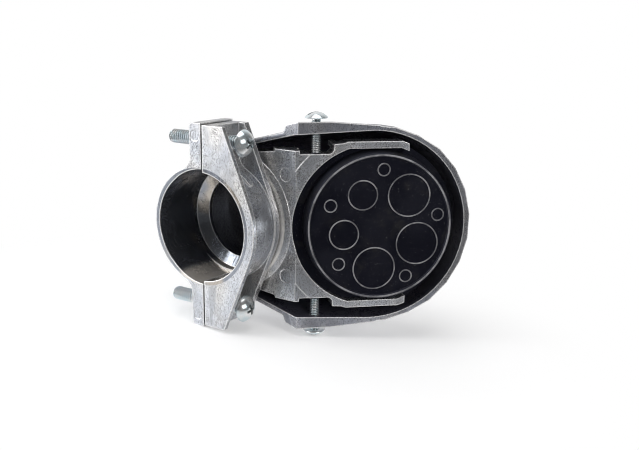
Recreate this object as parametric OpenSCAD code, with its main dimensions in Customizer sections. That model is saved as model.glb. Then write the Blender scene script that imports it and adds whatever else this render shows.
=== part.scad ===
// Service entrance weatherhead, clamp-on type, for 1-1/2 trade size conduit.
// Z runs up the conduit axis, the origin is the middle of the conduit stop,
// and +Y is the front, the side where the conductors leave.
// Lengths are in millimetres, angles in degrees.

/* [Conduit seat] */
// Outside diameter of the conduit that the clamp grips
conduit_d = 48.26; // [44:0.02:50]
// Radial clearance between the seat wall and the conduit
seat_gap = 0.1; // [0.05:0.05:0.2]
// Length of the seat, from its open end up to the stop
seat_len = 24.9; // [20:0.1:32]
// Wall of the half saddle behind the conduit
saddle_wall = 2.4; // [1.8:0.1:3]
// Widening of the saddle seat on each side at the split
seat_relief = 1.4; // [0.6:0.1:2]
// Radius of the throat above the stop
throat_r = 19.2; // [16:0.1:21]
// Height of the cone that forms the stop
stop_rise = 3; // [2:0.1:4]
// Height of the throat lip above the cone
lip_rise = 2.6; // [1:0.1:4]

/* [Clamp ears] */
// Distance of each clamp screw from the conduit axis
screw_x = 36.9; // [35:0.1:38]
// Half width over the saddle ears
ear_x = 45.4; // [44:0.1:48]
// Half width over the strap ears
strap_ear_x = 44.6; // [43:0.1:47]
// Thickness of a saddle ear
ear_t = 6.4; // [5:0.1:9]
// Distance of the split from the conduit axis
split_y = 0.9; // [0:0.1:2]
// Gap between the ears when the strap is closed
split_gap = 0.8; // [0.3:0.05:1.2]
// Fillet where a saddle ear leaves the saddle
ear_fillet = 6; // [3:0.5:8]
// Rounding of the outer corners of the ears
ear_round = 1.8; // [0.5:0.1:3]
// Gap between the top of the strap and the collar
strap_gap = 0.6; // [0.4:0.1:1.5]
// Radius of the ejector mark on each saddle ear
ear_mark_r = 2.6; // [1.5:0.1:2.8]

/* [Clamp strap] */
// Thickness of the half ring around the conduit
web_t = 2.2; // [1.8:0.1:3]
// Thickness of the strap ears under the screw heads
ear_floor_t = 5.3; // [4:0.1:7]
// Thickness of the lower flange
lower_flange_t = 2.2; // [1.8:0.1:4]
// Thickness of the upper flange
upper_flange_t = 3; // [2:0.1:4]
// Height of the lower flange over the web at its crown
lower_crown = 3; // [2:0.1:5]
// Height of the upper flange over the web at its crown
upper_crown = 0.6; // [0.4:0.1:2]
// Reach of the lower flange beyond the split at its ends
lower_end = 11.1; // [9:0.1:14]
// Reach of the upper flange beyond the split at its ends
upper_end = 8.3; // [7:0.1:12]
// Fillet where the strap ears meet the half ring
strap_fillet = 8; // [4:0.5:8]
// Angle of the rounded end of the small stiffening ribs on the half ring
rib_angle = 43; // [38:1:50]
// Length of the stiffening ribs
rib_len = 13; // [8:0.5:14]
// Width of the stiffening ribs
rib_w = 2.8; // [1:0.1:3]
// Height of the stiffening ribs above the half ring
rib_h = 0.9; // [0.4:0.1:2]
// Height of the middle of the stiffening ribs above the open end of the strap
rib_z = 11.6; // [9:0.1:13]

/* [Clamp screws] */
// Thread diameter of the clamp screws, 1/4 inch
clamp_screw_d = 6.35; // [6:0.05:6.6]
// Radial clearance in the tapped saddle ears
tapped_gap = 0.04; // [0.02:0.01:0.08]
// Radial clearance in the strap ears
free_gap = 0.35; // [0.2:0.05:0.6]
// Length of a clamp screw under its head
clamp_screw_len = 40.6; // [36:0.1:46]
// Stand-off of the head from the strap ear
head_standoff = 8.6; // [0.5:0.1:12]
// Head diameter of the clamp screws
clamp_head_d = 12; // [11:0.1:13]
// Head height of the clamp screws
clamp_head_h = 4.2; // [3:0.1:5]
// Width of the cross recess
cross_w = 1.3; // [1:0.1:1.8]
// Length of the cross recess
cross_l = 6.4; // [5:0.1:8]
// Depth of the cross recess
cross_deep = 2.4; // [1:0.1:3]

/* [Base casting] */
// Thickness of the plate
plate_t = 2.6; // [2:0.1:4]
// Drop of the plate underside below the conduit stop
plate_drop = 1.2; // [0.5:0.1:2]
// Radius of the back of the plate
plate_back_r = 30.3; // [29.5:0.1:30.5]
// Half width of the plate beside the front of the collar
plate_x = 31.6; // [31:0.1:33]
// Half width of the plate at the bend
plate_bend_x = 33.8; // [33:0.1:35]
// Depth of the side skirts behind the plate
skirt_h = 14; // [10:0.5:16]
// Depth of the arms around the opening
arm_h = 9; // [8:0.5:14]
// Wall of the side skirts
skirt_t = 2.3; // [1.8:0.1:3]
// Outer radius of the collar ring under the plate
collar_r = 28; // [27.5:0.1:29]
// Outer radius of the cone between the collar ring and the plate
collar_foot_r = 31.4; // [30:0.1:32]
// Drop of the collar ring below the plate
collar_drop = 1.7; // [1:0.1:3]
// Distance of the two ejector marks from the middle
mark_x = 22.9; // [20:0.1:25]
// Distance of the two ejector marks in front of the conduit axis
mark_y = 28.4; // [26:0.1:30]
// Radius of the ejector marks
mark_r = 3; // [2:0.1:4]

/* [Conductor face] */
// Tilt of the conductor face from the vertical
face_angle = 45; // [45:1:45]
// Distance of the face plane from the conduit stop
face_n = 25; // [24:0.1:26]
// Distance of the opening centre along the face
open_t = 58.2; // [57:0.1:60]
// Radius of the opening
open_r = 36.3; // [35:0.1:37]
// Half width of the opening between its flat sides
open_x = 34.4; // [33.5:0.1:35]
// Wall of the arms around the opening
arm_wall = 3.1; // [2.8:0.1:4]
// Distance of the arm ends along the face
arm_end_t = 73.4; // [66:0.1:80]
// Rounding of the outer corners of the arm ends
arm_round = 1.5; // [0.5:0.1:3]
// Radius of the raised land around the opening
land_r = 43.1; // [40:0.1:44]
// Height of the raised land
land_h = 0.35; // [0.1:0.05:0.6]

/* [Screw notches] */
// Distance of the notch floor from the middle
notch_x = 32.3; // [31.8:0.1:33]
// Near edge of the notch along the face
notch_t0 = 24.9; // [24:0.1:27]
// Width of the notch along the face
notch_w = 15; // [10:0.1:16]
// Rounding of the notch corner
notch_round = 2.4; // [0.5:0.1:3]

/* [Insulator] */
// Distance of the insulator centre along the face
disc_t = 60.3; // [59:0.1:61]
// Radius of the raised rim of the insulator
disc_r = 31.9; // [30:0.1:32.5]
// Stand-out of the rim in front of the face plane
disc_out = 3.3; // [2:0.1:5]
// Radius of the rim bead
bead_r = 0.85; // [0.5:0.05:1.2]
// Thickness of the insulator face
disc_wall = 2.4; // [1.5:0.1:3.5]
// Radius of the insulator body where it meets its flange
disc_foot_r = 34; // [33.2:0.1:34]
// Thickness of the insulator flange
flange_t = 2.4; // [1.6:0.1:3]
// Depth of the flange behind the face plane
flange_deep = 4.8; // [3:0.1:7]
// Depth of the guide groove into the arm wall
groove_d = 1.5; // [1:0.1:1.8]
// Clearance of the flange in its groove
flange_gap = 0.15; // [0.1:0.05:0.3]

/* [Knock-outs] */
// Angle of the large and medium knock-outs about the disc centre
ko_turn = 47; // [36:1:58]
// Radius of the large knock-outs
ko_large_r = 9.7; // [8:0.1:10]
// Distance of the large knock-outs from the disc centre
ko_large_at = 18.9; // [17:0.1:20]
// Radius of the medium knock-outs
ko_medium_r = 6.8; // [5:0.1:8]
// Distance of the medium knock-outs from the disc centre
ko_medium_at = 16.4; // [15:0.1:19]
// Radius of the small knock-outs
ko_small_r = 3; // [2:0.1:3.4]
// Distance of the small knock-outs from the disc centre
ko_small_at = 25.5; // [24:0.1:26]
// Offset of the small knock-out circle up the face
ko_small_shift = 1.2; // [0:0.1:1.5]
// Angles of the small knock-outs about the disc centre
ko_small_angles = [11, 90, 157, 220, 296];
// Width of the raised line around each knock-out
ko_line_w = 0.6; // [0.4:0.05:1]
// Height of the raised line around each knock-out
ko_line_h = 0.35; // [0.2:0.05:0.6]

/* [Hood] */
// Gap between the hood rim plane and the face plane
hood_out = 0.6; // [0:0.1:1.5]
// Distance of the centre of the hood front along the face
hood_t = 57.3; // [56:0.1:58]
// Inner radius of the hood front
hood_r = 42.3; // [41:0.1:44]
// Corner radius of the facetted front edge of the hood
hood_corner_r = 45.1; // [45:0.1:46]
// Corner radius of the facets beside the arms
hood_side_r = 44.6; // [44.4:0.1:46]
// Angle of one facet of the front edge
facet_step = 14.4; // [14:0.1:14.5]
// Angle of the first facet corner
facet_start = 48.7; // [45:0.1:52]
// Angle from the top up to which the larger rim radius holds
corner_span = 60; // [55:1:62]
// Inner half width of the hood at its bend
hood_bend_x = 40.7; // [40:0.1:42]
// Inner radius of the back of the hood around the conduit axis
hood_back_r = 31; // [30.9:0.1:32]
// Wall of the hood
hood_wall = 2.3; // [2:0.1:3]
// Radius of the hood where its crown begins to round
crown_r = 43.8; // [43:0.1:45]
// Distance from the axis plane of the face to the start of the crown
crown_start = 14; // [10:0.5:16]
// Stand-out of the crown beyond that plane
crown_rise = 12; // [8:0.5:16]
// Shift of the top of the crown towards the conduit
crown_shift = 9; // [6:0.5:12]
// Height at which the back of the hood begins to round
back_start = 14; // [13:0.5:18]
// Height of the top of the hood back above the conduit stop
back_rise = 35; // [30:1:40]
// Shift of the top of the back towards the front
back_shift = 6; // [4:0.5:10]
// Flat share of the crown and of the back, as a rounding angle
crown_turn = 63; // [50:1:70]
// Half width over the screw bosses
boss_x = 46.2; // [45.5:0.1:47]
// Back end of the screw bosses
boss_y = 28.5; // [26:0.1:31]
// Slant of the back end of the screw bosses
boss_slant = 2; // [0:0.5:4]
// Front end of the screw bosses along the face
boss_t = 66; // [62:0.5:68]
// Depth of the screw bosses behind the rim
boss_deep = 10; // [7:0.5:12]
// Depth of the slope that runs round the outer face of a boss
boss_slope = 1.7; // [1:0.1:3]
// Length of the boss rim that the slope takes at its end
boss_run = 6; // [3:0.5:9]
// Half length of the flat outer face beyond the hood screw
boss_flat = 6.5; // [6:0.1:7.5]

/* [Hood screws] */
// Thread diameter of the hood screws, number 8
hood_screw_d = 4.17; // [4:0.01:4.4]
// Depth of the hood screw axis behind the face plane
hood_screw_deep = 3; // [2.4:0.1:4]
// Length of a hood screw under its head
hood_screw_len = 15.3; // [14:0.1:17]
// Gap between a screw tip and the notch floor
tip_gap = 0.05; // [0.03:0.01:0.2]
// Head diameter of the hood screws
hood_head_d = 10.1; // [9:0.1:11]
// Head height of the hood screws
hood_head_h = 2.7; // [2:0.1:3.5]
// Width of the screwdriver slot
slot_w = 1.3; // [0.8:0.1:1.6]
// Depth of the screwdriver slot
slot_deep = 1.3; // [0.8:0.1:1.6]

/* [Hidden] */
$fn = 72;
eps = 0.01;
big = 200;
seat_r = conduit_d / 2 + seat_gap;
saddle_r = seat_r + saddle_wall;
relief_r = seat_r + seat_relief;
relief_y = 1.5 * seat_relief;
plate_z = -plate_drop;
collar_z = plate_z - collar_drop;
strap_z0 = -seat_len;
strap_z1 = collar_z - strap_gap;
screw_z = (strap_z0 + strap_z1) / 2;
ear_y0 = split_y - ear_t;
strap_y0 = split_y + split_gap;
floor_y = strap_y0 + ear_floor_t;
clamp_head_y = floor_y + head_standoff;
clamp_r = clamp_screw_d / 2;
web_r = seat_r + web_t;
sa = sin(face_angle);
ca = cos(face_angle);
bend_y = (face_n + plate_z * ca) / sa;
bend_t = bend_y * ca + plate_z * sa;
hood_n = face_n + hood_out;
hood_bend_y = (hood_n + plate_z * ca) / sa;
hood_bend_t = hood_bend_y * ca + plate_z * sa;
arm_r = open_r + arm_wall;
arm_x = open_x + arm_wall;
hood_screw_n = face_n - hood_screw_deep;
hood_screw_t = notch_t0 + notch_w / 2;
hood_screw_y = hood_screw_t * ca + hood_screw_n * sa;
hood_screw_z = hood_screw_t * sa - hood_screw_n * ca;
hood_screw_r = hood_screw_d / 2;
hood_tip_x = notch_x + tip_gap;
hood_head_x = hood_tip_x + hood_screw_len;
disc_n = face_n + disc_out;
flange_z0 = -(face_n - flange_deep);
flange_r = open_r + groove_d - flange_gap;
flange_x = open_x + groove_d - flange_gap;

casting = [0.72, 0.73, 0.75];
hood_grey = [0.45, 0.46, 0.48];
black = [0.12, 0.12, 0.13];
zinc = [0.8, 0.83, 0.86];

// Every real piece of the weatherhead
// The piece to show, or all

// Face coordinates: X across, Y up the face, Z inward behind the face
module on_face() {
  rotate([face_angle, 0, 0]) children();
}

// Everything in front of the face plane at distance n
module front_of(n) {
  on_face() translate([-big / 2, -big / 2, -n - big]) cube([big, big, big]);
}

// Everything below the height z
module below(z) {
  translate([-big / 2, -big / 2, z - big]) cube([big, big, big]);
}

// Right half and its mirror image
module both_sides() {
  children();
  mirror([1, 0, 0]) children();
}

// A circle between two flat sides
module flat_sided(r, x) {
  intersection() {
    circle(r = r);
    square([2 * x, 3 * r], center = true);
  }
}

// Corner point of a tangent from the ear end to the crown circle
function tangent_at(r, x, y) =
  let (a = atan2(y, x) + acos(r / norm([x, y]))) [r * cos(a), r * sin(a)];

// Crown outline: a circle with straight sides down to the ears
module crown_outline(r, x, y) {
  p = tangent_at(r, x, y);
  circle(r = r);
  both_sides() polygon([[0, 0], [x, 0], [x, y], p]);
}

// Plan of the saddle with its ears and their fillets
module saddle_plan() {
  yc = ear_y0 - ear_fillet;
  xc = sqrt(pow(saddle_r + ear_fillet, 2) - yc * yc);
  k = saddle_r / (saddle_r + ear_fillet);
  difference() {
    union() {
      circle(r = saddle_r);
      both_sides() {
        translate([0, ear_y0]) square([ear_x - ear_round, ear_t]);
        translate([0, ear_y0 + ear_round]) square([ear_x, ear_t - ear_round]);
        translate([ear_x - ear_round, ear_y0 + ear_round]) circle(r = ear_round);
        difference() {
          polygon([[0, ear_y0 + 0.5], [xc, ear_y0 + 0.5], [xc, yc], [xc * k, yc * k], [0, yc * k]]);
          translate([xc, yc]) circle(r = ear_fillet);
        }
      }
    }
    translate([-big / 2, split_y]) square([big, big]);
    circle(r = seat_r);
    translate([0, relief_y]) circle(r = relief_r);
  }
}

// Half ring behind the conduit with the two tapped ears
module saddle() {
  translate([0, 0, strap_z0]) linear_extrude(strap_z1 - strap_z0) saddle_plan();
  difference() {
    translate([0, 0, strap_z1 - eps]) cylinder(h = collar_z - strap_z1 + 2 * eps, r = saddle_r);
    translate([-big / 2, split_y, -big / 2]) cube([big, big, big]);
  }
}

// Ring under the plate with the stop cone and the throat lip
module collar() {
  lip_z = stop_rise + lip_rise;
  intersection() {
    rotate_extrude()
      polygon([[seat_r, collar_z], [collar_r, collar_z], [collar_foot_r, plate_z - 0.25],
               [collar_foot_r, plate_z + plate_t], [collar_r - 1, plate_z + plate_t + 1],
               [throat_r + 3.4, lip_z], [throat_r + 0.5, lip_z], [throat_r, lip_z - 0.5],
               [throat_r, stop_rise], [seat_r, 0]]);
    translate([0, 0, collar_z - 1]) linear_extrude(lip_z - collar_z + 2) plate_plan();
  }
}

// Plan of the flat plate, shrunk by d for the inside of the skirts
module plate_plan(d = 0) {
  circle(r = plate_back_r - d);
  both_sides()
    polygon([[0, 0], [plate_back_r - d, 0], [plate_x - d, 13],
             [plate_bend_x - d, bend_y], [plate_bend_x - d, bend_y + 8], [0, bend_y + 8]]);
}

// Outline of the sloping plate between the bend and the arms
module face_plan(d = 0) {
  both_sides()
    polygon([[0, bend_t - 8], [plate_bend_x - d, bend_t - 8], [plate_bend_x - d, bend_t + 2],
             [arm_x - 1.1 - d, notch_t0 + notch_w - 1], [arm_x - 0.2 - d, open_t - 8], [0, open_t - 8]]);
}

module shell_plates() {
  difference() {
    union() {
      translate([0, 0, plate_z]) linear_extrude(plate_t) plate_plan();
      difference() {
        translate([0, 0, plate_z]) linear_extrude(skirt_h) plate_plan();
        translate([0, 0, plate_z - eps]) linear_extrude(skirt_h + 1) plate_plan(skirt_t);
        on_face() translate([-big / 2, bend_t + 10, -big / 2]) cube([big, big, big]);
      }
    }
    front_of(face_n - land_h);
    on_face() translate([-big / 2, bend_t + 16, -big / 2]) cube([big, big, big]);
  }
  difference() {
    on_face() union() {
      translate([0, 0, -face_n + land_h]) linear_extrude(plate_t) face_plan();
      difference() {
        translate([0, 0, -face_n + land_h]) linear_extrude(skirt_h) face_plan();
        translate([0, 0, -face_n]) linear_extrude(skirt_h + 1) face_plan(skirt_t);
        translate([-big / 2, notch_t0 + notch_w + skirt_t, -face_n + arm_h]) cube([big, big, big]);
      }
      intersection() {
        translate([0, 0, -face_n]) linear_extrude(plate_t) face_plan();
        translate([0, open_t, -big / 2]) cylinder(h = big, r = land_r);
      }
    }
    below(plate_z);
  }
}

// U-shaped wall that holds the insulator, open at the front
// Area of the face that the arms may cover, with round outer corners at its end
module arm_area() {
  end = arm_end_t - open_t;
  inner = arm_x - arm_round;
  translate([-big / 2, end - arm_round - big]) square([big, big]);
  translate([-inner, 0]) square([2 * inner, end]);
  both_sides() translate([inner, end - arm_round]) circle(r = arm_round);
}

module arms() {
  difference() {
    on_face() translate([0, open_t, -face_n]) linear_extrude(arm_h) intersection() {
      flat_sided(arm_r, arm_x);
      arm_area();
    }
    below(plate_z);
  }
}

module opening_cut() {
  on_face() {
    translate([0, open_t, -face_n - 5]) linear_extrude(skirt_h + 6) flat_sided(open_r, open_x);
    translate([0, open_t, flange_z0 - flange_gap])
      linear_extrude(flange_t + 2 * flange_gap) flat_sided(open_r + groove_d, open_x + groove_d);
  }
}

module notch_cut() {
  on_face() both_sides()
    translate([notch_x, notch_t0, -face_n - 1]) linear_extrude(skirt_h + 3)
      difference() {
        square([20, notch_w]);
        difference() {
          translate([-eps, notch_w - notch_round]) square([notch_round, notch_round + eps]);
          translate([notch_round, notch_w - notch_round]) circle(r = notch_round);
        }
      }
}

module base_casting() {
  color(casting)
  difference() {
    union() {
      saddle();
      collar();
      shell_plates();
      arms();
    }
    translate([0, 0, -seat_len - 1]) cylinder(h = seat_len + 1, r = seat_r);
    translate([0, 0, -eps]) cylinder(h = stop_rise + eps, r1 = seat_r, r2 = throat_r);
    cylinder(h = stop_rise + lip_rise + 30, r = throat_r);
    opening_cut();
    notch_cut();
    both_sides() {
      translate([screw_x, ear_y0 - 1, screw_z]) rotate([-90, 0, 0])
        cylinder(h = ear_t + 2, r = clamp_r + tapped_gap);
      translate([mark_x, mark_y, plate_z - 1]) cylinder(h = 1.3, r = mark_r);
      translate([ear_x - 5.4, (ear_y0 + split_y) / 2, strap_z0 - 1]) cylinder(h = 1.2, r = ear_mark_r);
    }
  }
}

// Stiffening rib on the half ring, pointing from the ear to the crown
module strap_rib() {
  intersection() {
    translate([0, 0, strap_z0]) cylinder(h = strap_z1 - strap_z0, r = web_r + rib_h);
    translate([0, 0, strap_z0 + rib_z]) rotate([0, 0, rib_angle]) {
      translate([0, -rib_len, -rib_w / 2]) cube([web_r + 5, rib_len, rib_w]);
      rotate([0, 90, 0]) cylinder(h = web_r + 5, r = rib_w / 2);
    }
  }
}

// Plan of the half ring with its ears and the fillets between them
module web_plan() {
  yc = floor_y + strap_fillet;
  xc = sqrt(pow(web_r + strap_fillet, 2) - yc * yc);
  k = web_r / (web_r + strap_fillet);
  circle(r = web_r);
  both_sides() {
    translate([0, strap_y0]) square([strap_ear_x, ear_floor_t]);
    difference() {
      polygon([[0, floor_y - 0.5], [xc, floor_y - 0.5], [xc, yc], [xc * k, yc * k], [0, yc * k]]);
      translate([xc, yc]) circle(r = strap_fillet);
    }
  }
}

module clamp_strap() {
  color(casting)
  difference() {
    union() {
      translate([0, 0, strap_z0]) linear_extrude(strap_z1 - strap_z0) web_plan();
      translate([0, 0, strap_z0]) linear_extrude(lower_flange_t)
        crown_outline(web_r + lower_crown, strap_ear_x, strap_y0 + lower_end);
      translate([0, 0, strap_z1 - upper_flange_t]) linear_extrude(upper_flange_t)
        crown_outline(web_r + upper_crown, strap_ear_x, strap_y0 + upper_end);
      both_sides() strap_rib();
    }
    translate([-big / 2, strap_y0 - big, -big / 2]) cube([big, big, big]);
    translate([0, 0, -seat_len - 1]) cylinder(h = seat_len + 1, r = seat_r);
    both_sides() translate([screw_x, strap_y0 - 1, screw_z]) rotate([-90, 0, 0])
      cylinder(h = ear_floor_t + 2, r = clamp_r + free_gap);
  }
}

// Domed screw head standing on its rim
module dome(r, h) {
  ball = (r * r + h * h) / (2 * h);
  intersection() {
    translate([0, 0, h - ball]) sphere(r = ball);
    cylinder(h = h + 1, r = r);
  }
}

module clamp_screw() {
  difference() {
    translate([0, 0, 0]) dome(clamp_head_d / 2, clamp_head_h);
    for (a = [0, 90]) rotate([0, 0, a])
      translate([-cross_l / 2, -cross_w / 2, clamp_head_h - cross_deep])
        cube([cross_l, cross_w, cross_deep + 1]);
  }
  translate([0, 0, -clamp_screw_len + 0.6]) cylinder(h = clamp_screw_len - 0.6 + eps, r = clamp_r);
  translate([0, 0, -clamp_screw_len]) cylinder(h = 0.6 + eps, r1 = clamp_r - 0.6, r2 = clamp_r);
}

module clamp_screw_a() {
  color(zinc) translate([screw_x, clamp_head_y, screw_z]) rotate([-90, 0, 0]) clamp_screw();
}

module clamp_screw_b() {
  color(zinc) translate([-screw_x, clamp_head_y, screw_z]) rotate([-90, 0, 0]) clamp_screw();
}

module knock_out(r) {
  difference() {
    cylinder(h = ko_line_h + 1, r = r);
    translate([0, 0, -1]) cylinder(h = ko_line_h + 3, r = r - ko_line_w);
  }
}

// Insulator cup, drawn face up: z is the height above the flange back
module insulator_cup() {
  top = disc_n + flange_z0 + flange_t;
  face = top - bead_r;
  difference() {
    union() {
      cylinder(h = face, r1 = disc_foot_r, r2 = disc_r + bead_r);
      translate([0, 0, face]) rotate_extrude() translate([disc_r, 0]) circle(r = bead_r);
    }
    translate([0, 0, -1]) cylinder(h = face - disc_wall + 1, r1 = disc_foot_r - 2.4, r2 = disc_r - 2);
  }
  for (k = [0:4]) {
    large = (k == 0 || k == 3 || k == 4);
    rotate([0, 0, 90 - ko_turn - 72 * k]) {
      if (large) translate([ko_large_at, 0, face - 1]) knock_out(ko_large_r);
      if (!large) translate([ko_medium_at, 0, face - 1]) knock_out(ko_medium_r);
    }
  }
  for (a = ko_small_angles)
    translate([0, ko_small_shift, 0]) rotate([0, 0, 90 - a])
      translate([ko_small_at, 0, face - 1]) knock_out(ko_small_r);
}

module conductor_insulator() {
  color(black)
  on_face() {
    translate([0, disc_t, flange_z0 + flange_t]) rotate([180, 0, 0]) mirror([0, 1, 0]) insulator_cup();
    difference() {
      translate([0, open_t, flange_z0]) linear_extrude(flange_t) flat_sided(flange_r, flange_x);
      translate([0, disc_t, flange_z0 - 1]) cylinder(h = flange_t + 2, r = disc_foot_r - 2.4);
    }
  }
}

// Rim outline of the hood front, facetted outside
module hood_front(facets) {
  if (facets) polygon(concat(
    [for (k = [3:-1:-10])
      let (a = facet_start + k * facet_step, r = abs(a) < corner_span ? hood_corner_r : hood_side_r)
        [r * sin(a), hood_t + r * cos(a)]],
    [[-hood_bend_x - hood_wall, hood_bend_t], [hood_bend_x + hood_wall, hood_bend_t]]));
  else union() {
    translate([0, hood_t]) circle(r = hood_r, $fn = 64);
    translate([-hood_bend_x, hood_bend_t]) square([2 * hood_bend_x, hood_t - hood_bend_t]);
  }
}

// Solid dome, either the outside or the inside of the hood
module hood_solid(inside) {
  w = inside ? hood_wall : 0;
  low = inside ? 1 : 0;
  hull() {
    on_face() translate([0, 0, -hood_n - low]) linear_extrude(3 + low) hood_front(!inside);
    translate([0, 0, plate_z - low]) linear_extrude(3 + low) {
      circle(r = hood_back_r + hood_wall - w, $fn = 48);
      translate([-hood_bend_x - hood_wall + w, hood_bend_y - 1])
        square([2 * (hood_bend_x + hood_wall - w), 1]);
    }
    for (a = [0, crown_turn * 0.43, crown_turn * 0.72, crown_turn]) {
      on_face() translate([0, hood_t - crown_shift * sin(a), (crown_rise + crown_start - w) * sin(a) - crown_start])
        cylinder(h = 0.1, r = crown_r * cos(a) - w, $fn = 48);
      translate([0, back_shift * sin(a), (back_rise - back_start - w) * sin(a) + back_start])
        cylinder(h = 0.1, r = (hood_back_r + hood_wall) * cos(a) - w, $fn = 48);
    }
  }
}

// Thin slice of a boss at distance x, following the rim from y0 to t1
module boss_slice(x, y0, t1, d) {
  p1 = [t1 * ca + hood_n * sa, t1 * sa - hood_n * ca];
  translate([x - 0.1, 0, 0]) rotate([90, 0, 90]) linear_extrude(0.1)
    polygon([[y0, plate_z], [hood_bend_y, plate_z], p1, [p1[0] - d * sa, p1[1] + d * ca],
             [(hood_n - d + (plate_z + d) * ca) / sa, plate_z + d], [y0, plate_z + d]]);
}

module hood_boss() {
  hull() {
    boss_slice(hood_bend_x - 0.7, boss_y - boss_slant, boss_t, boss_deep);
    boss_slice(boss_x - boss_slope, boss_y, boss_t - boss_run, 2);
    boss_slice(boss_x, hood_bend_y - 0.4, hood_screw_t + boss_flat, 1.2);
  }
}

module hood() {
  color(hood_grey)
  difference() {
    union() {
      hood_solid(false);
      both_sides() hood_boss();
    }
    hood_solid(true);
    both_sides() translate([notch_x, hood_screw_y, hood_screw_z]) rotate([0, 90, 0])
      cylinder(h = boss_x, r = hood_screw_r + tapped_gap);
  }
}

module hood_screw() {
  difference() {
    dome(hood_head_d / 2, hood_head_h);
    translate([-hood_head_d, -slot_w / 2, hood_head_h - slot_deep])
      cube([2 * hood_head_d, slot_w, slot_deep + 1]);
  }
  translate([0, 0, -hood_screw_len + 0.5]) cylinder(h = hood_screw_len - 0.5 + eps, r = hood_screw_r);
  translate([0, 0, -hood_screw_len]) cylinder(h = 0.5 + eps, r1 = hood_screw_r - 0.5, r2 = hood_screw_r);
}

module hood_screw_a() {
  color(zinc) translate([hood_head_x, hood_screw_y, hood_screw_z]) rotate([0, 90, 0]) hood_screw();
}

module hood_screw_b() {
  color(zinc) translate([-hood_head_x, hood_screw_y, hood_screw_z]) rotate([0, -90, 0]) hood_screw();
}

base_casting();
clamp_strap();
hood();
conductor_insulator();
clamp_screw_a();
clamp_screw_b();
hood_screw_a();
hood_screw_b();
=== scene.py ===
import math

import bmesh
import bpy
import numpy as np
from mathutils import Matrix, Vector


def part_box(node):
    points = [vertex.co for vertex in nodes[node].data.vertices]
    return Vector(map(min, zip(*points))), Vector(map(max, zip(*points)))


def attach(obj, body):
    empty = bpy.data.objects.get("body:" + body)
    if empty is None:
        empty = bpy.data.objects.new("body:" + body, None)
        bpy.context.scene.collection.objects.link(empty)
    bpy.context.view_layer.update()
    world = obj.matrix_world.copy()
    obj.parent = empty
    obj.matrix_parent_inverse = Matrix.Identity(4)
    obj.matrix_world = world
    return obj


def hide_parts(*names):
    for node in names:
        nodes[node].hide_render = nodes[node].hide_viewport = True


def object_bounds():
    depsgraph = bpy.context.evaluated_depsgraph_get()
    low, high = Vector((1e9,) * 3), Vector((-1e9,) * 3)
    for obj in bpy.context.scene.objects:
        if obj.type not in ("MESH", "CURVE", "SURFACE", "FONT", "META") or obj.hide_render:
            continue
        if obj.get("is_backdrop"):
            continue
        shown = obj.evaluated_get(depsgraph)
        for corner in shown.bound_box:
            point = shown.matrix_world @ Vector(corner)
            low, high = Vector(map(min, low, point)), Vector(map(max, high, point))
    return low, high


MM = 0.001
R2 = math.sqrt(0.5)

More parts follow.
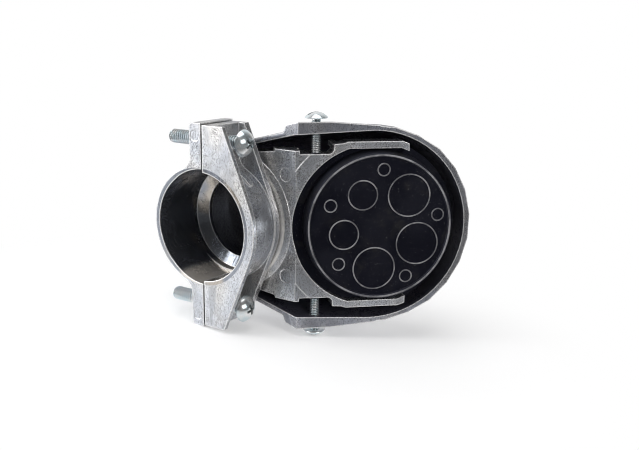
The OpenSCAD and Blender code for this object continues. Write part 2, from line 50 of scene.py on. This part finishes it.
# places on the part, in its own frame
FACE = (0.0, R2, -R2)                 # points out of the sloping conductor face
SEAT_R = 25.9 * MM                    # the smooth seat of the clamp lies inside this radius
CONE_R = 23.8 * MM                    # the cone behind the seat lies inside this one
COLLAR_Z = (-3.3 * MM, -3.1 * MM, -2.6 * MM, -2.3 * MM)   # fades in and out around the collar
HOOD_RIM = 25.6 * MM                  # height of the hood's rim along FACE
DOME_CENTRE = (0.0, 42.0 * MM, 32.0 * MM)
RAISED = (27.55 * MM, 27.72 * MM)     # height of the insulator's raised lines along FACE
HIGHLIGHT_SIDE = (-0.975, -0.22, 0.0)    # side of the seat that carries the painted highlight
SHADED_SIDE = (0.35, 0.75, 0.56)        # side of the hood with painted shade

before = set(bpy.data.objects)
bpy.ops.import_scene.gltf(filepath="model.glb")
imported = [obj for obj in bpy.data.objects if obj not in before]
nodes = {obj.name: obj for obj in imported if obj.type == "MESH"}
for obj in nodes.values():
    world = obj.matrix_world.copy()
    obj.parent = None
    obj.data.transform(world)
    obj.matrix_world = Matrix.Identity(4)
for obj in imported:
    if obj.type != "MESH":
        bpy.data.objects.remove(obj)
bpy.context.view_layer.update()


# ---------------------------------------------------------------- shader help
class Tree:
    """Builds a node tree with short calls."""

    def __init__(self, tree):
        self.t = tree
        tree.nodes.clear()

    def add(self, kind, **values):
        n = self.t.nodes.new(kind)
        for k, v in values.items():
            setattr(n, k, v)
        return n

    def put(self, socket, value):
        if isinstance(value, bpy.types.NodeSocket):
            self.t.links.new(value, socket)
        elif value is not None:
            if isinstance(value, (tuple, list)) and len(value) == 3 and socket.type == "RGBA":
                value = (*value, 1.0)
            socket.default_value = value

    def math(self, op, a, b=None, c=None, clamp=False):
        n = self.add("ShaderNodeMath", operation=op, use_clamp=clamp)
        for i, v in enumerate((a, b, c)):
            self.put(n.inputs[i], v)
        return n.outputs[0]

    def dot(self, a, b):
        return self.vector("DOT_PRODUCT", a, b)

    def mix(self, fac, a, b, blend="MIX"):
        n = self.add("ShaderNodeMix", data_type="RGBA", blend_type=blend)
        self.put(n.inputs[0], fac)
        self.put(n.inputs[6], a)
        self.put(n.inputs[7], b)
        return n.outputs[2]

    def emission(self, strength):
        n = self.add("ShaderNodeEmission")
        self.put(n.inputs["Strength"], strength)
        return n.outputs[0]

    def blend(self, fac, a, b):
        n = self.add("ShaderNodeMixShader")
        for i, v in enumerate((fac, a, b)):
            self.put(n.inputs[i], v)
        return n.outputs[0]

    def ramp(self, value, lo, hi, out_lo=0.0, out_hi=1.0, smooth=True):
        n = self.add("ShaderNodeMapRange", clamp=True)
        n.interpolation_type = "SMOOTHSTEP" if smooth else "LINEAR"
        self.put(n.inputs["Value"], value)
        for k, v in zip(("From Min", "From Max", "To Min", "To Max"), (lo, hi, out_lo, out_hi)):
            self.put(n.inputs[k], v)
        return n.outputs[0]

    def noise(self, coord, scale, detail=3.0, rough=0.55, distortion=0.0):
        n = self.add("ShaderNodeTexNoise")
        self.put(n.inputs["Vector"], coord)
        self.put(n.inputs["Scale"], scale)
        self.put(n.inputs["Detail"], detail)
        self.put(n.inputs["Roughness"], rough)
        self.put(n.inputs["Distortion"], distortion)
        return n.outputs["Fac"]

    def vector(self, op, a, b=None):
        n = self.add("ShaderNodeVectorMath", operation=op)
        self.put(n.inputs[0], a)
        self.put(n.inputs[1], b)
        return n.outputs["Value" if op in ("LENGTH", "DISTANCE", "DOT_PRODUCT") else "Vector"]

    def times(self, a, b):
        return self.math("MULTIPLY", a, b)

    def less(self, value, share=1.0):
        """1 minus a share of value."""
        return self.math("SUBTRACT", 1.0, self.times(value, share) if share != 1.0 else value)

    def bevel(self, radius, samples=8):
        n = self.add("ShaderNodeBevel", samples=samples)
        self.put(n.inputs["Radius"], radius)
        return n.outputs[0]

    def occlusion(self, distance, samples=8, only_local=False):
        n = self.add("ShaderNodeAmbientOcclusion", samples=samples, only_local=only_local)
        self.put(n.inputs["Distance"], distance)
        return n.outputs["AO"]

    def bump(self, height, strength, distance, normal=None):
        n = self.add("ShaderNodeBump")
        self.put(n.inputs["Height"], height)
        self.put(n.inputs["Strength"], strength)
        self.put(n.inputs["Distance"], distance)
        if normal is not None:
            self.put(n.inputs["Normal"], normal)
        return n.outputs[0]


def new_material(name):
    m = bpy.data.materials.new(name)
    m.use_nodes = True
    t = Tree(m.node_tree)
    out = t.add("ShaderNodeOutputMaterial")
    bsdf = t.add("ShaderNodeBsdfPrincipled")
    t.put(out.inputs["Surface"], bsdf.outputs[0])
    return m, t, bsdf


def scaled(colour, k):
    return tuple(v * k for v in colour)


def cast_material(name, tone, rough, grain=1.0, shade_share=0.0, reach=0.03, hollow_at=(0.05, 0.75),
                  shade_colour=(0.012, 0.012, 0.014), bore_r=0.0, dome=None, wave=0.3):
    """As-cast metal: mottled colour and specks, painted shade in hollows and gaps, painted
    highlights on edges and along the seat, and painted light where the strap bears.

    grain is the strength of the casting skin. Painted shade takes hollows to the colour
    shade_colour by the share
    shade_share: they are found by occlusion within reach, or, where dome gives the centre of a
    shell, as the faces that look towards it. Inside bore_r the metal is turned smooth.
    """
    m, t, bsdf = new_material(name)
    co = t.add("ShaderNodeTexCoord").outputs["Object"]
    geo = t.add("ShaderNodeNewGeometry")
    edge = t.dot(t.bevel(1.2 * MM, 12), geo.outputs["True Normal"])
    near_edge = t.ramp(t.less(edge), 0.012, 0.09)

    wide = t.noise(co, 38.0, 2.0, 0.5)
    stain = t.noise(t.vector("MULTIPLY", co, (0.35, 1.0, 1.0)), 85.0, 2.0, 0.5, 1.2)
    patch = t.noise(co, 160.0, 4.0, 0.6, 0.4)
    grit = t.noise(co, 1300.0, 4.0, 0.7)
    speck = t.noise(co, 2300.0, 1.0, 0.5)
    scratch = t.noise(t.vector("MULTIPLY", co, (0.25, 1.0, 0.6)), 2600.0, 1.0, 0.5)
    fine = t.noise(co, 4200.0, 3.0, 0.6)

    # the smooth seat has no casting skin
    flat = t.vector("MULTIPLY", co, (1.0, 1.0, 0.0))
    radius = t.vector("LENGTH", flat)
    bore = t.ramp(radius, bore_r, bore_r + 0.3 * MM, 1.0, 0.0, smooth=False)
    skin = t.times(t.less(bore), grain)

    # mottled and speckled skin
    warm = tuple(v * k for v, k in zip(tone, (1.0, 0.975, 0.945)))
    cool = tuple(v * k for v, k in zip(tone, (0.92, 0.96, 1.03)))
    col = t.mix(t.ramp(wide, 0.40, 0.62), cool, warm)
    col = t.mix(t.ramp(wide, 0.36, 0.50, 0.45, 0.0), col, scaled(cool, 0.6))
    col = t.mix(t.ramp(patch, 0.42, 0.68, 0.0, 0.5), col, scaled(tone, 0.6))
    col = t.mix(t.ramp(stain, 0.48, 0.64, 0.0, 0.6), col, scaled(cool, 0.52))
    for mark, lo, hi, most, k in ((grit, 0.54, 0.66, 0.35, 0.45),
                                  (speck, 0.57, 0.66, 0.8, 0.25),
                                  (scratch, 0.60, 0.67, 0.6, 0.3)):
        col = t.mix(t.times(t.ramp(mark, lo, hi, 0.0, most), skin), col, scaled(tone, k))

    # the seat is darker and mottled brown, with a painted highlight along one side, which stops at
    # the cone
    seat_tone_and_highlight = t.mix(t.ramp(wide, 0.50, 0.62), (0.20, 0.22, 0.26), (0.46, 0.41, 0.35))
    side = t.dot(t.vector("NORMALIZE", flat), HIGHLIGHT_SIDE)
    seat_highlight = t.ramp(t.math("ADD", side, t.times(patch, 0.03)), 0.95, 1.0)
    seat_highlight = t.times(t.times(seat_highlight, bore), t.ramp(radius, CONE_R, CONE_R + 0.3 * MM))
    seat_tone_and_highlight = t.mix(seat_highlight, seat_tone_and_highlight, (0.85, 0.78, 0.69))
    col = t.mix(t.times(bore, 0.8), col, seat_tone_and_highlight)

    # painted shade in hollows and narrow gaps
    if dome is None:
        hollow_shade = t.ramp(t.occlusion(reach, only_local=True), *hollow_at, 1.0, 0.0)
    else:
        away = t.vector("SUBTRACT", co, dome)
        facing = t.dot(away, geo.outputs["True Normal"])
        hollow_shade = t.ramp(facing, -2 * MM, 0.0, 1.0, 0.0, smooth=False)
    hollow_shade = t.times(hollow_shade, shade_share)
    col = t.mix(hollow_shade, col, shade_colour)
    gap_shade = t.occlusion(2.2 * MM)
    col = t.mix(t.ramp(gap_shade, 0.08, 0.38, 0.85, 0.0), col, (0.02, 0.02, 0.024))

    # painted light: the downward face of the collar that the strap bears on is painted bright
    z = t.dot(co, (0.0, 0.0, 1.0))
    below = t.ramp(t.dot(geo.outputs["Normal"], (0.0, 0.0, -1.0)), 0.7, 0.9)
    level = t.times(t.ramp(z, *COLLAR_Z[:2]), t.ramp(z, *COLLAR_Z[2:], 1.0, 0.0))
    collar_light = t.times(t.times(below, level), t.ramp(patch, 0.35, 0.6, 0.9, 0.6))
    col = t.mix(collar_light, col, (0.98, 0.95, 0.90))

    # painted highlights on the edges
    edge_highlight = t.times(near_edge, t.less(hollow_shade, 0.8))
    col = t.mix(t.times(edge_highlight, 0.9), col, (0.97, 0.97, 0.97))

    if dome is not None:
        # painted shade on the far side of a hood, but not on its rim
        at_side = t.dot(t.vector("NORMALIZE", away), SHADED_SIDE)
        height = t.dot(co, FACE)
        off_rim = t.ramp(height, HOOD_RIM - 0.5 * MM, HOOD_RIM - 0.1 * MM, 1.0, 0.0)
        shade = t.times(t.ramp(at_side, 0.1, 0.9, 0.0, 0.55), off_rim)
        col = t.mix(t.times(shade, t.less(edge_highlight, 0.6)), col, (0.10, 0.10, 0.12))
    t.put(bsdf.inputs["Base Color"], col)

    metal = t.math("SUBTRACT", 0.80, t.times(edge_highlight, 0.42))
    metal = t.math("ADD", metal, t.times(bore, 0.1))
    if dome is not None:
        metal = t.times(metal, t.less(hollow_shade))
    metal = t.math("SUBTRACT", metal, t.times(collar_light, 0.4))
    t.put(bsdf.inputs["Metallic"], t.math("SUBTRACT", metal, t.times(seat_highlight, 0.3)))

    r = t.math("ADD", rough, t.ramp(grit, 0.35, 0.75, -0.06, 0.14))
    r = t.math("ADD", r, t.ramp(stain, 0.35, 0.7, -0.05, 0.09))
    r = t.math("SUBTRACT", r, t.times(near_edge, 0.05))
    t.put(bsdf.inputs["Roughness"], t.math("SUBTRACT", r, t.times(bore, 0.12)))

    n = t.bevel(0.45 * MM)
    if dome is not None:
        # the back of a hood is blended from one facet to the next
        at_rim = t.ramp(height, HOOD_RIM - 7 * MM, HOOD_RIM - 4 * MM)
        n = t.vector("NORMALIZE", t.mix(at_rim, t.bevel(4.5 * MM, 12), n))
    n = t.bump(t.times(grit, skin), 0.15, 0.25 * MM, n)
    n = t.bump(t.times(fine, skin), 0.12, 0.08 * MM, n)
    n = t.bump(patch, 0.12, 0.6 * MM, n)
    t.put(bsdf.inputs["Normal"], t.bump(stain, wave, 1.2 * MM, n))
    return m


def plastic_material(name):
    """Black moulding with a soft sheen; raised lines carry a painted highlight and side walls a
    painted sheen.
    """
    m, t, bsdf = new_material(name)
    co = t.add("ShaderNodeTexCoord").outputs["Object"]
    wide = t.noise(co, 60.0, 3.0, 0.5)
    dust = t.noise(co, 1500.0, 4.0, 0.6)
    fine = t.noise(co, 5000.0, 2.0, 0.5)
    level = t.dot(t.add("ShaderNodeNewGeometry").outputs["Normal"], FACE)
    raised = t.times(t.ramp(t.dot(co, FACE), *RAISED), t.ramp(level, 0.80, 0.97))
    col = t.mix(t.ramp(wide, 0.4, 0.65), (0.004, 0.004, 0.008), (0.008, 0.008, 0.012))
    # painted sheen: faces turned aside from the conductor face are painted lighter and bluer
    flank_sheen = t.times(t.ramp(level, 0.35, 0.85, 0.9, 0.0), t.ramp(level, -0.4, -0.1))
    col = t.mix(flank_sheen, col, (0.026, 0.027, 0.036))
    powder = t.noise(co, 95.0, 4.0, 0.65, 0.3)
    col = t.mix(t.ramp(powder, 0.52, 0.68, 0.0, 0.7), col, (0.022, 0.021, 0.019))
    col = t.mix(t.ramp(dust, 0.60, 0.70, 0.0, 0.6), col, (0.12, 0.12, 0.12))
    # painted highlight on the raised lines, made patchy
    highlight_patches = t.ramp(powder, 0.38, 0.60, 0.4, 1.0)
    col = t.mix(t.times(raised, highlight_patches), col, (0.36, 0.36, 0.37))
    t.put(bsdf.inputs["Base Color"], col)
    rough = t.ramp(wide, 0.35, 0.7, 0.34, 0.46)
    t.put(bsdf.inputs["Roughness"], t.math("SUBTRACT", rough, t.times(raised, 0.1)))
    t.put(bsdf.inputs["IOR"], 1.49)
    t.put(bsdf.inputs["Specular IOR Level"], 0.3)
    t.put(bsdf.inputs["Specular Tint"], (0.66, 0.70, 1.0))
    n = t.bump(fine, 0.12, 0.05 * MM, t.bevel(0.2 * MM))
    t.put(bsdf.inputs["Normal"], t.bump(dust, 0.08, 0.10 * MM, n))
    return m


def zinc_material(name):
    """Bright zinc plate with a faint blue cast and painted shade in its grooves."""
    m, t, bsdf = new_material(name)
    co = t.add("ShaderNodeTexCoord").outputs["Object"]
    wide = t.noise(co, 250.0, 3.0, 0.5)
    fine = t.noise(co, 3500.0, 3.0, 0.6)
    col = t.mix(t.ramp(wide, 0.4, 0.65), (0.82, 0.93, 0.97), (0.97, 0.98, 0.98))
    # painted shade in the thread grooves and recesses, found by occlusion
    col = t.mix(t.ramp(t.occlusion(1.2 * MM, 6), 0.42, 0.78, 0.95, 0.0), col, (0.04, 0.05, 0.06))
    t.put(bsdf.inputs["Base Color"], col)
    t.put(bsdf.inputs["Metallic"], 0.75)
    t.put(bsdf.inputs["Roughness"], t.ramp(fine, 0.3, 0.7, 0.16, 0.26))
    t.put(bsdf.inputs["Normal"], t.bump(fine, 0.10, 0.04 * MM))
    return m


casting = cast_material("cast_aluminium", (0.82, 0.82, 0.83), 0.30, 1.0, shade_share=0.45,
                        reach=0.04, hollow_at=(0.10, 0.45), bore_r=SEAT_R)
hood_cast = cast_material("hood_aluminium", (0.47, 0.475, 0.51), 0.32, 0.8, shade_share=1.0,
                          shade_colour=(0.055, 0.055, 0.075), dome=DOME_CENTRE, wave=0.08)
plastic = plastic_material("insulator_plastic")
zinc = zinc_material("zinc_plate")

for name, material in (("base_casting", casting), ("clamp_strap", casting),
                       ("hood", hood_cast), ("conductor_insulator", plastic)):
    o = nodes[name]
    o.data.materials.clear()
    o.data.materials.append(material)


# ---------------------------------------------------------------- screws
def mesh_object(name, verts, faces, material=None):
    """A closed mesh with its faces turned outwards."""
    me = bpy.data.meshes.new(name)
    me.from_pydata([tuple(v) for v in verts], [], faces)
    me.validate()
    bm = bmesh.new()
    bm.from_mesh(me)
    bmesh.ops.recalc_face_normals(bm, faces=bm.faces)
    bm.to_mesh(me)
    bm.free()
    o = bpy.data.objects.new(name, me)
    bpy.context.scene.collection.objects.link(o)
    if material is not None:
        me.materials.append(material)
    return o


def grid_faces(rows, cols):
    """Faces of a tube of rings of points."""
    f = []
    for i in range(rows - 1):
        for j in range(cols):
            k = (j + 1) % cols
            f.append((i * cols + j, i * cols + k, (i + 1) * cols + k, (i + 1) * cols + j))
    return f


def capped(f, rows, cols):
    """Adds end fans to f; the points after the rings close the last and the first ring."""
    last = (rows - 1) * cols
    for j in range(cols):
        k = (j + 1) % cols
        f.append((last + j, last + k, rows * cols))
        f.append((k, j, rows * cols + 1))
    return f


def shank(r, length, pitch, plain, cham, cols=40, per=10):
    """Threaded shank along -Z from z 0 to -length, with a plain neck under the head.

    cham is the chamfer of the tip and per the number of rings in a turn of the thread.
    """
    depth, neck = 0.61 * pitch, 0.12
    rows = int(length / pitch * per)
    z = -np.linspace(0, length, rows)
    th = np.arange(cols) * 2 * np.pi / cols
    turn = ((-z[:, None] / pitch) + th[None, :] / (2 * np.pi)) % 1.0
    saw = np.clip(np.abs(turn - 0.5) * 2 * 1.25 - 0.125, 0, 1)
    fade = np.clip((-z[:, None] - plain) / pitch, 0, 1)
    ring = r - depth * saw * fade - (1 - fade) * neck
    tip = np.clip(cham - (length + z[:, None]), 0, cham)
    ring = np.minimum(ring, r - tip)
    v = np.stack([ring * np.cos(th), ring * np.sin(th),
                  np.broadcast_to(z[:, None], ring.shape)], -1).reshape(-1, 3)
    v = np.vstack([v, (0, 0, -length), (0, 0, 0)])
    return v, capped(grid_faces(rows, cols), rows, cols)


def head(r, h, rim, cols=72, steps=22):
    """Domed head standing on z 0, with a short rounded rim."""
    ball = (r * r + (h - rim) ** 2) / (2 * (h - rim))
    a0 = math.asin(min(1, r / ball))
    prof = [(r - 0.35, 0.0), (r - 0.12, 0.06), (r, 0.25), (r, rim)]
    for i in range(1, steps):
        a = a0 * (1 - i / steps)
        prof.append((ball * math.sin(a), h - ball + ball * math.cos(a)))
    th = np.arange(cols) * 2 * np.pi / cols
    v = [(p * math.cos(t), p * math.sin(t), z) for p, z in prof for t in th]
    v += [(0, 0, h), (0, 0, 0)]
    return np.array(v), capped(grid_faces(len(prof), cols), len(prof), cols)


def cut(o, verts, faces):
    """Cuts a closed form out of the mesh of o."""
    c = mesh_object("cutter", verts, faces)
    mod = o.modifiers.new("recess", "BOOLEAN")
    mod.operation = "DIFFERENCE"
    mod.solver = "EXACT"
    mod.object = c
    dg = bpy.context.evaluated_depsgraph_get()
    done = bpy.data.meshes.new_from_object(o.evaluated_get(dg))
    o.modifiers.clear()
    old, cutter = o.data, c.data
    o.data = done
    bpy.data.meshes.remove(old)
    bpy.data.objects.remove(c)
    bpy.data.meshes.remove(cutter)


def wing_cutter(length_top, length_bottom, w_top, w_bottom, z_top, z_bottom):
    """A tapered bar across the head, the form of a slot or of one wing of a cross recess."""
    v = []
    for z, ln, w in ((z_bottom, length_bottom, w_bottom), (z_top, length_top, w_top)):
        v += [(-ln / 2, -w / 2, z), (ln / 2, -w / 2, z), (ln / 2, w / 2, z), (-ln / 2, w / 2, z)]
    f = [(0, 1, 2, 3), (4, 5, 6, 7), (0, 1, 5, 4), (1, 2, 6, 5), (2, 3, 7, 6), (3, 0, 4, 7)]
    return v, f


def smooth_by_angle(o, degrees):
    """Smooth shading, with edges sharper than degrees kept sharp."""
    for p in o.data.polygons:
        p.use_smooth = True
    bm = bmesh.new()
    bm.from_mesh(o.data)
    limit = math.radians(degrees)
    for e in bm.edges:
        e.smooth = not (len(e.link_faces) == 2 and e.calc_face_angle(0) > limit)
    bm.to_mesh(o.data)
    bm.free()


def join(a, b):
    """Adds the mesh of b to a and removes b."""
    bm = bmesh.new()
    bm.from_mesh(a.data)
    bm.from_mesh(b.data)
    bm.to_mesh(a.data)
    bm.free()
    old = b.data
    bpy.data.objects.remove(b)
    bpy.data.meshes.remove(old)


def screw(name, node, axis, seat, sizes, recess, turn):
    """axis points out of the head; seat is the centre of the head's underside, in mm."""
    r, length, pitch, plain, cham, head_r, head_h, rim = sizes
    hv, hf = head(head_r, head_h, rim)
    o = mesh_object(name, hv, hf, zinc)
    for v, f in recess:
        cut(o, v, f)
    smooth_by_angle(o, 38)
    sv, sf = shank(r, length, pitch, plain, cham)
    s = mesh_object(name + "_shank", sv, sf, zinc)
    smooth_by_angle(s, 60)
    join(o, s)
    z = Vector(axis).normalized()
    q = z.to_track_quat("Z", "Y").to_matrix().to_4x4()
    spin = Matrix.Rotation(math.radians(turn), 4, "Z")
    o.data.transform(Matrix.Translation(Vector(seat) * MM) @ q @ spin @ Matrix.Scale(MM, 4))
    o.data.update()
    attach(o, node)
    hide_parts(node)
    return o


def cad_box(node):
    lo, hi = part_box(node)
    return [v * 1000 for v in lo], [v * 1000 for v in hi]


# sizes: radius, shank length, pitch, plain neck, tip chamfer, head radius, height and rim
CLAMP_HEAD_H = 4.2
for node, turn in (("clamp_screw_a", 40), ("clamp_screw_b", 15)):
    lo, hi = cad_box(node)
    seat_y = hi[1] - CLAMP_HEAD_H
    sizes = (3.17, seat_y - lo[1], 1.27, 0.6, 0.6, 6.0, CLAMP_HEAD_H, 0.45)
    v, f = wing_cutter(6.4, 3.0, 1.3, 0.9, 5.0, 1.8)
    cross = [(v, f), ([(-y, x, z) for x, y, z in v], f)]
    screw(node + "_detail", node, (0, 1, 0), ((lo[0] + hi[0]) / 2, seat_y, (lo[2] + hi[2]) / 2),
          sizes, cross, turn)

HOOD_HEAD_H = 2.7
for side, node in ((1, "hood_screw_a"), (-1, "hood_screw_b")):
    lo, hi = cad_box(node)
    seat_x = (hi[0] if side > 0 else lo[0]) - side * HOOD_HEAD_H
    sizes = (2.08, hi[0] - lo[0] - HOOD_HEAD_H, 0.794, 0.4, 0.5, 5.05, HOOD_HEAD_H, 0.35)
    slot = [wing_cutter(12, 12, 1.3, 1.2, 4.0, 1.4)]
    screw(node + "_detail", node, (side, 0, 0), (seat_x, (lo[1] + hi[1]) / 2, (lo[2] + hi[2]) / 2),
          sizes, slot, 60)


# ---------------------------------------------------------------- stage
# the camera looks at the conductor face from below; lengths in mm
TURN, TIP, ROLL = 0.5978051, 0.2309824, 0.0117386
SHIFT_X, SHIFT_Y, DISTANCE = -37.77923, 3.59127, 417.14875
PIXELS_PER_MM, PICTURE_W, SENSOR_W = 2.186781, 639.0, 36.0
level_right = Vector((0, math.cos(TURN), math.sin(TURN)))
level_up = Vector((1, 0, 0))
level_back = Vector((0, math.sin(TURN), -math.cos(TURN)))
back = level_back * math.cos(TIP) + level_up * math.sin(TIP)
tipped_up = level_up * math.cos(TIP) - level_back * math.sin(TIP)
right = level_right * math.cos(ROLL) + tipped_up * math.sin(ROLL)
up = -level_right * math.sin(ROLL) + tipped_up * math.cos(ROLL)
target = (right * -SHIFT_X - up * SHIFT_Y) * MM

cam_data = bpy.data.cameras.new("camera")
cam = bpy.data.objects.new("camera", cam_data)
bpy.context.scene.collection.objects.link(cam)
axes = Matrix((right, up, back)).transposed()
cam.matrix_world = Matrix.Translation(target + back * DISTANCE * MM) @ axes.to_4x4()
cam_data.sensor_width = SENSOR_W
cam_data.lens = PIXELS_PER_MM * DISTANCE * SENSOR_W / PICTURE_W
cam_data.clip_start, cam_data.clip_end = 0.01, 20.0
bpy.context.scene.camera = cam

# the part lies on the head of one hood screw and the corner of one ear
EAR = Vector((-45.4, -2.0, -24.9))
HEAD_TIP = Vector((-50.4, 38.2, 7.1))
FLOOR_HALF = 2.5
along = (HEAD_TIP - EAR).normalized()
across = Vector((0, -along.z, along.y)).normalized()
normal = along.cross(across).normalized()
if normal.x < 0:
    normal = -normal
centre = (EAR + HEAD_TIP) / 2 * MM
a, b = along * FLOOR_HALF, normal.cross(along).normalized() * FLOOR_HALF
me = bpy.data.meshes.new("floor")
me.from_pydata([tuple(centre + p) for p in (-a - b, a - b, a + b, -a + b)], [], [(0, 1, 2, 3)])
if (me.polygons[0].normal - normal).length > 1:
    me.flip_normals()
floor = bpy.data.objects.new("floor", me)
bpy.context.scene.collection.objects.link(floor)
floor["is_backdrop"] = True


def floor_material():
    """Pale paper that fades to white; metal sees it darker in front of the part."""
    m = bpy.data.materials.new("floor")
    m.use_nodes = True
    t = Tree(m.node_tree)
    out = t.add("ShaderNodeOutputMaterial")
    co = t.add("ShaderNodeTexCoord").outputs["Object"]
    lp = t.add("ShaderNodeLightPath")
    seen = t.math("MAXIMUM", lp.outputs["Is Camera Ray"], lp.outputs["Is Glossy Ray"])

    paper = t.add("ShaderNodeBsdfDiffuse")
    t.put(paper.inputs["Color"], (0.82, 0.82, 0.825))
    lit = t.add("ShaderNodeAddShader")
    t.put(lit.inputs[0], paper.outputs[0])
    t.put(lit.inputs[1], t.emission(t.times(seen, 0.36)))
    far = t.ramp(t.vector("DISTANCE", co, tuple(centre)), 0.085, 0.17)
    ground = t.blend(t.times(seen, far), lit.outputs[0], t.emission(1.0))

    ahead = t.dot(co, tuple(back))
    aside = t.dot(co, tuple(right))
    front = t.times(t.ramp(ahead, -0.01, 0.09, 0.0, 0.88), t.ramp(aside, -0.07, 0.01))
    front = t.math("MAXIMUM", front, t.ramp(ahead, 0.05, 0.10, 0.0, 0.9))
    front = t.times(front, lp.outputs["Is Glossy Ray"])
    ground = t.blend(front, ground, t.emission(0.0))

    # clear from below, so that the part can be seen from every side
    below = t.add("ShaderNodeNewGeometry").outputs["Backfacing"]
    clear = t.add("ShaderNodeBsdfTransparent").outputs[0]
    t.put(out.inputs["Surface"], t.blend(below, ground, clear))
    return m


me.materials.append(floor_material())

world = bpy.data.worlds.new("studio")
bpy.context.scene.world = world
world.use_nodes = True
t = Tree(world.node_tree)
out = t.add("ShaderNodeOutputWorld")
bg = t.add("ShaderNodeBackground")
co = t.add("ShaderNodeTexCoord").outputs["Generated"]
lp = t.add("ShaderNodeLightPath")
toward = t.dot(co, tuple(back))
left = t.dot(co, tuple(-right))
soft = t.ramp(toward, -0.55, 0.25, 0.70, 0.05)
soft = t.math("ADD", soft, t.ramp(left, 0.35, 0.95, 0.0, 0.25))
soft = t.times(soft, t.ramp(left, -0.8, -0.3, 0.12, 1.0))
strength = t.math("MAXIMUM", lp.outputs["Is Camera Ray"], soft)
t.put(bg.inputs["Color"], (1, 1, 1))
t.put(bg.inputs["Strength"], strength)
t.put(out.inputs["Surface"], bg.outputs[0])


MIDDLE = Vector((0, 0.025, 0.015))    # the lamps stand around this point of the part


def softbox(name, direction, distance, size, power, tint=(1, 1, 1)):
    d = bpy.data.lights.new(name, "AREA")
    d.shape = "RECTANGLE"
    d.size, d.size_y = size
    d.energy = power
    d.color = tint
    o = bpy.data.objects.new(name, d)
    bpy.context.scene.collection.objects.link(o)
    v = Vector(direction).normalized()
    o.location = MIDDLE + v * distance
    o.rotation_mode = "QUATERNION"
    o.rotation_quaternion = v.to_track_quat("Z", "Y")
    return o


softbox("left_box", (0.08, -0.62, -0.78), 0.75, (0.46, 0.6), 4.7)
softbox("key_box", (0.62, -0.48, -0.62), 0.8, (0.3, 0.3), 1.5)
softbox("top_box", (1.0, 0.10, -0.10), 0.85, (0.7, 0.7), 3.3)
softbox("front_box", right * 0.45 + up * 0.1 + back * 0.6, 0.9, (0.35, 0.5), 1.8, (1.0, 0.98, 0.96))
softbox("right_box", right * 0.9 - up * 0.35 - back * 0.3, 0.9, (0.8, 0.6), 4.6, (0.97, 0.99, 1.0))

bpy.context.scene.view_settings.view_transform = "Standard"
bpy.context.scene.cycles.filter_width = 1.0

lo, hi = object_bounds()
